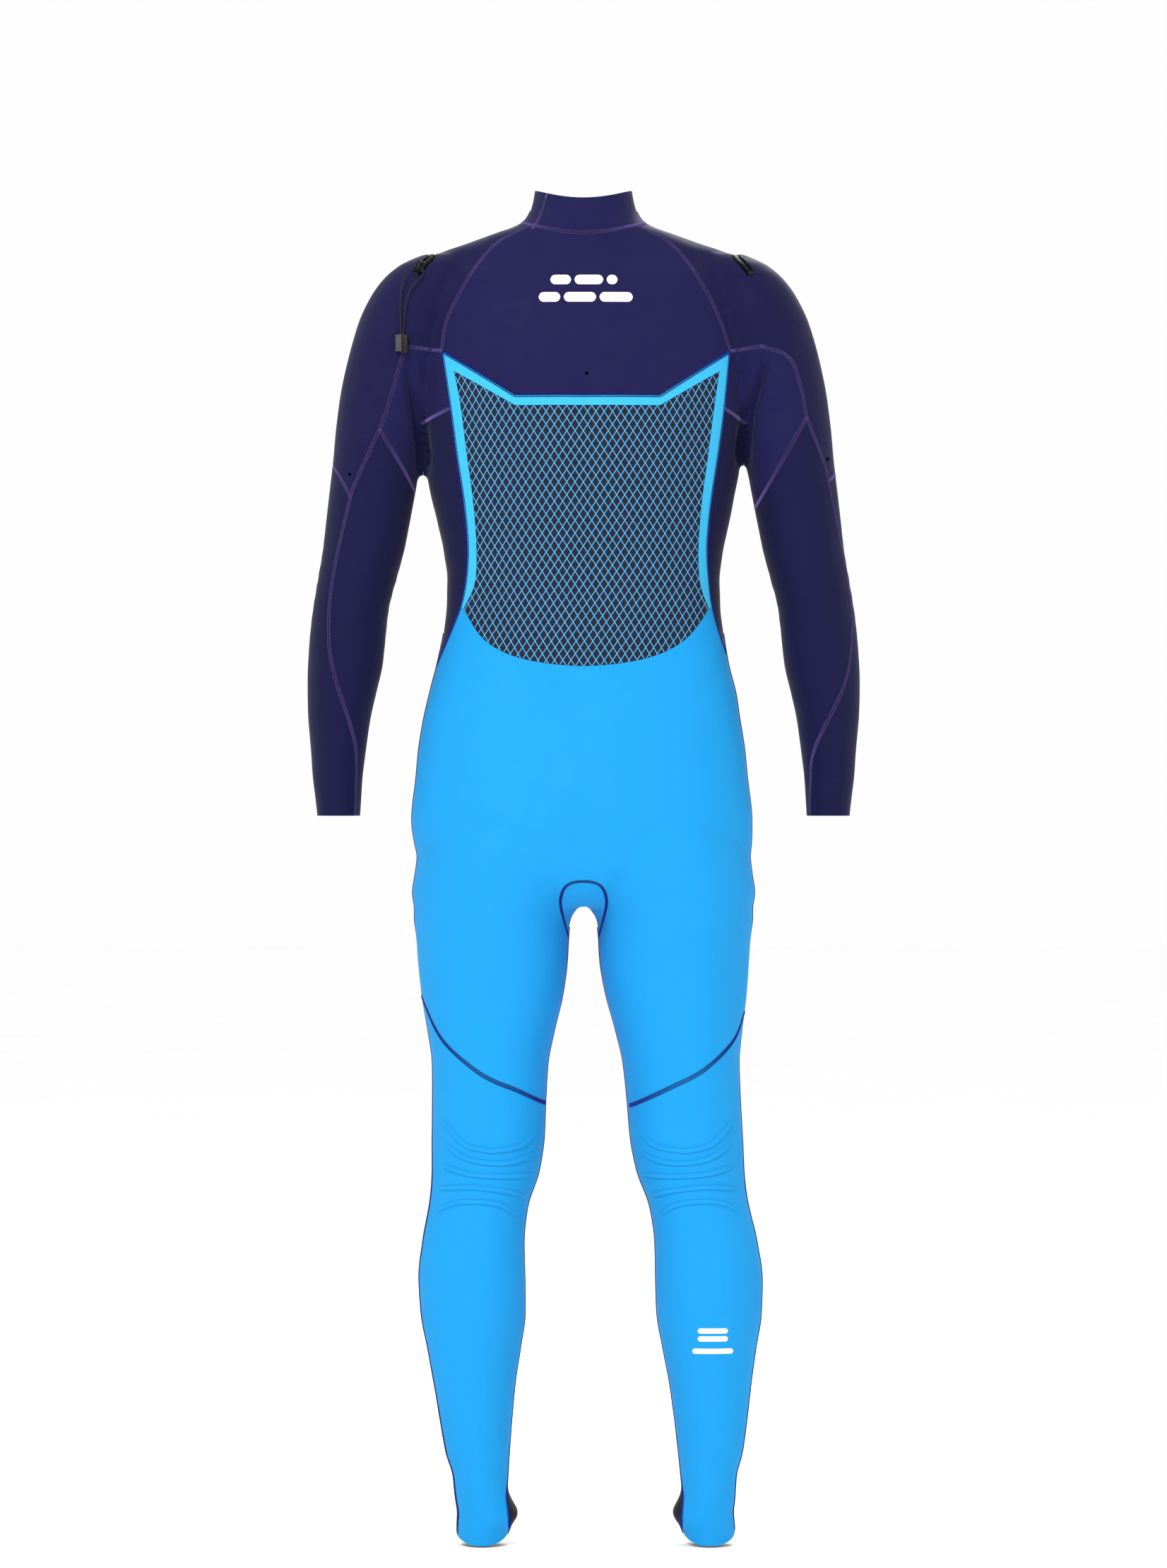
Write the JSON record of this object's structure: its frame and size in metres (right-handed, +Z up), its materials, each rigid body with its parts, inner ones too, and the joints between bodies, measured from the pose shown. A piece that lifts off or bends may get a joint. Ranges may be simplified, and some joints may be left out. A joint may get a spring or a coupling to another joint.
{
  "type": "full wetsuit",
  "caption": "Full-length long-sleeved neoprene wetsuit in worn shape, with a shoulder-to-shoulder chest zip, cord pull, framed lattice back panel and bending elbows and knees.",
  "frame": {"origin": "middle of the neck opening, at the height of the collar's highest point", "axes": "+Z up the body, +Y the way the wearer faces, +X towards the wearer's right hand side"},
  "size_m": [0.626, 0.253, 1.5286],
  "materials": {
    "navy_neoprene": "knitted jersey over foam, matt",
    "blue_neoprene": "knitted jersey over foam, matt",
    "lattice_neoprene": "dark grey jersey with a printed diamond lattice",
    "trim_neoprene": "jersey trim, matt",
    "black_neoprene": "knitted jersey over foam, matt",
    "zip_tape": "woven tape",
    "zip_plastic": "moulded acetal",
    "slider_plastic": "moulded, satin",
    "cord": "braided polyester"
  },
  "bodies": {
    "root": {"collar_back": "navy_neoprene", "collar_front": "navy_neoprene", "back_yoke": "navy_neoprene", "entry_flap": "navy_neoprene", "chest_panel": "navy_neoprene", "shoulder_panel_left": "navy_neoprene", "shoulder_panel_right": "navy_neoprene", "underarm_panel_left": "navy_neoprene", "underarm_panel_right": "navy_neoprene", "side_panel_left": "navy_neoprene", "side_panel_right": "navy_neoprene", "elbow_panel_inner_left": "navy_neoprene", "elbow_panel_inner_right": "navy_neoprene", "elbow_panel_outer_left": "navy_neoprene", "elbow_panel_outer_right": "navy_neoprene", "seat_panel": "blue_neoprene", "crotch_gusset": "blue_neoprene", "thigh_front_panel_left": "blue_neoprene", "thigh_front_panel_right": "blue_neoprene", "knee_back_panel_left": "blue_neoprene", "knee_back_panel_right": "blue_neoprene", "back_lattice_panel": "lattice_neoprene", "back_frame_trim": "trim_neoprene", "knee_pad_left": "black_neoprene", "knee_pad_right": "black_neoprene", "zip_tape_lower": "zip_tape", "zip_tape_upper": "zip_tape", "zip_teeth_chain": "zip_plastic", "zip_stop_left": "zip_plastic", "zip_stop_right": "zip_plastic"},
    "left_forearm": {"forearm_panel_inner_left": "navy_neoprene", "forearm_panel_outer_left": "navy_neoprene"},
    "right_forearm": {"forearm_panel_inner_right": "navy_neoprene", "forearm_panel_outer_right": "navy_neoprene"},
    "left_lower_leg": {"shin_panel_left": "black_neoprene", "calf_panel_left": "blue_neoprene"},
    "right_lower_leg": {"shin_panel_right": "black_neoprene", "calf_panel_right": "blue_neoprene"},
    "zip_slider": {"zip_slider": "slider_plastic"},
    "zip_pull": {"zip_pull_cord": "cord", "zip_pull_toggle": "slider_plastic"}
  },
  "joints": [
    {"name": "left_elbow", "type": "hinge", "parent": "root", "child": "left_forearm", "pos_m": [-0.256, -0.004, -0.448], "axis": [1, 0, 0], "range_deg": [0, 80], "stiffness_Nm_per_rad": 1, "deforming": ["elbow_panel_inner_left", "elbow_panel_outer_left"]},
    {"name": "right_elbow", "type": "hinge", "parent": "root", "child": "right_forearm", "pos_m": [0.256, -0.004, -0.448], "axis": [1, 0, 0], "range_deg": [0, 80], "stiffness_Nm_per_rad": 1, "deforming": ["elbow_panel_inner_right", "elbow_panel_outer_right"]},
    {"name": "left_knee", "type": "hinge", "parent": "root", "child": "left_lower_leg", "pos_m": [-0.11, -0.006, -1.104], "axis": [-1, 0, 0], "range_deg": [0, 80], "stiffness_Nm_per_rad": 1.5, "deforming": ["knee_back_panel_left", "knee_pad_left"]},
    {"name": "right_knee", "type": "hinge", "parent": "root", "child": "right_lower_leg", "pos_m": [0.121, -0.006, -1.104], "axis": [-1, 0, 0], "range_deg": [0, 80], "stiffness_Nm_per_rad": 1.5, "deforming": ["knee_back_panel_right", "knee_pad_right"]},
    {"name": "zip_slider_travel", "type": "hinge", "parent": "root", "child": "zip_slider", "pos_m": [-0.188, -0.012, -0.127], "axis": [-0.9232, 0.1, 0.3711], "range_deg": [0, 70]},
    {"name": "zip_pull_swing", "type": "hinge", "parent": "zip_slider", "child": "zip_pull", "pos_m": [-0.1848, -0.0705, -0.0912], "axis": [-1, 0, 0], "range_deg": [0, 60]}
  ]
}
